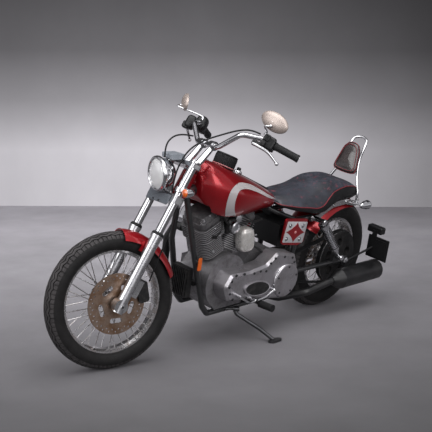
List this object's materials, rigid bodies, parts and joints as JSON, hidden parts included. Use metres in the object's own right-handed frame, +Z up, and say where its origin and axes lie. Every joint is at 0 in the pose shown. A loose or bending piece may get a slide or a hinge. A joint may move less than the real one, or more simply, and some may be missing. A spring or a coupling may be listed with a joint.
{
  "type": "cruiser motorcycle",
  "caption": "V-twin cruiser motorcycle leaning on its side stand, with wire wheels, a sissy bar and its bars turned a little.",
  "frame": {"origin": "on the floor, under the middle of the whole machine's box", "axes": "+X towards the front of the machine along its length, +Y to the rider's left, +Z up"},
  "size_m": [2.2428, 0.9447, 1.2481],
  "materials": {
    "tyre": "matte",
    "chrome": "polished",
    "polished_alloy": "polished",
    "grey_alloy": "satin",
    "disc_steel": "brushed",
    "black_paint": "satin",
    "red_paint": "gloss",
    "black_rubber": "matte",
    "black_plastic": "satin",
    "seat_leather": "satin",
    "lens_glass": "clear",
    "mesh_grey": "matte"
  },
  "bodies": {
    "chassis": {"frame": "black_paint", "engine_cases": "grey_alloy", "gearbox": "grey_alloy", "front_cylinder": "black_paint", "rear_cylinder": "black_paint", "pushrod_tubes": "chrome", "intake": "chrome", "primary_cover": "grey_alloy", "horn": "chrome", "exhaust_right": "black_paint", "exhaust_left": "black_paint", "fuel_tank": "red_paint", "console": "black_plastic", "gauge": "black_plastic", "rear_fender": "red_paint", "seat": "seat_leather", "fender_struts": "chrome", "sissy_bar": "chrome", "backrest_pad": "seat_leather", "rear_signals": "chrome", "swingarm": "black_paint", "shocks": "chrome", "rear_caliper": "black_paint", "drive_belt": "black_rubber", "electrics_box": "black_plastic", "side_covers": "red_paint", "regulator": "black_paint", "foot_controls": "black_rubber", "number_plate": "black_plastic", "tail_lamp": "black_plastic"},
    "front_end": {"fork_sliders": "polished_alloy", "fork_tubes": "chrome", "triple_trees": "polished_alloy", "front_axle": "chrome", "front_caliper": "black_paint", "front_fender": "red_paint", "headlight_shell": "chrome", "headlight_lens": "lens_glass", "fork_bar": "mesh_grey", "instrument_box": "mesh_grey", "front_signals": "chrome", "handlebar": "chrome", "risers": "chrome", "grips": "black_rubber", "switch_housings": "black_plastic", "levers": "chrome", "mirrors": "chrome", "cables": "black_rubber", "brake_hose": "black_rubber"},
    "front_wheel": {"front_tyre": "tyre", "front_wheel": "chrome", "front_disc": "disc_steel"},
    "rear_wheel": {"rear_tyre": "tyre", "rear_wheel": "chrome", "rear_disc": "disc_steel", "rear_pulley": "black_paint"},
    "stand": {"side_stand": "black_paint"}
  },
  "joints": [
    {"name": "steering", "type": "hinge", "parent": "chassis", "child": "front_end", "pos_m": [0.74708, -0.16647, 0.29746], "axis": [-0.4924, 0.1671, 0.8542], "range_deg": [-18.41, 53.59]},
    {"name": "front_wheel_spin", "type": "hinge", "parent": "front_end", "child": "front_wheel", "pos_m": [0.80042, -0.17975, 0.33081], "axis": [0.263, 0.9641, -0.037], "continuous": true},
    {"name": "rear_wheel_spin", "type": "hinge", "parent": "chassis", "child": "rear_wheel", "pos_m": [-0.80146, -0.163, 0.3152], "axis": [0, 0.9814, -0.192], "continuous": true},
    {"name": "side_stand_swing", "type": "hinge", "parent": "chassis", "child": "stand", "pos_m": [0.05854, -0.05334, 0.16739], "axis": [-0.742, 0.6692, -0.0411], "range_deg": [0, 92]}
  ]
}
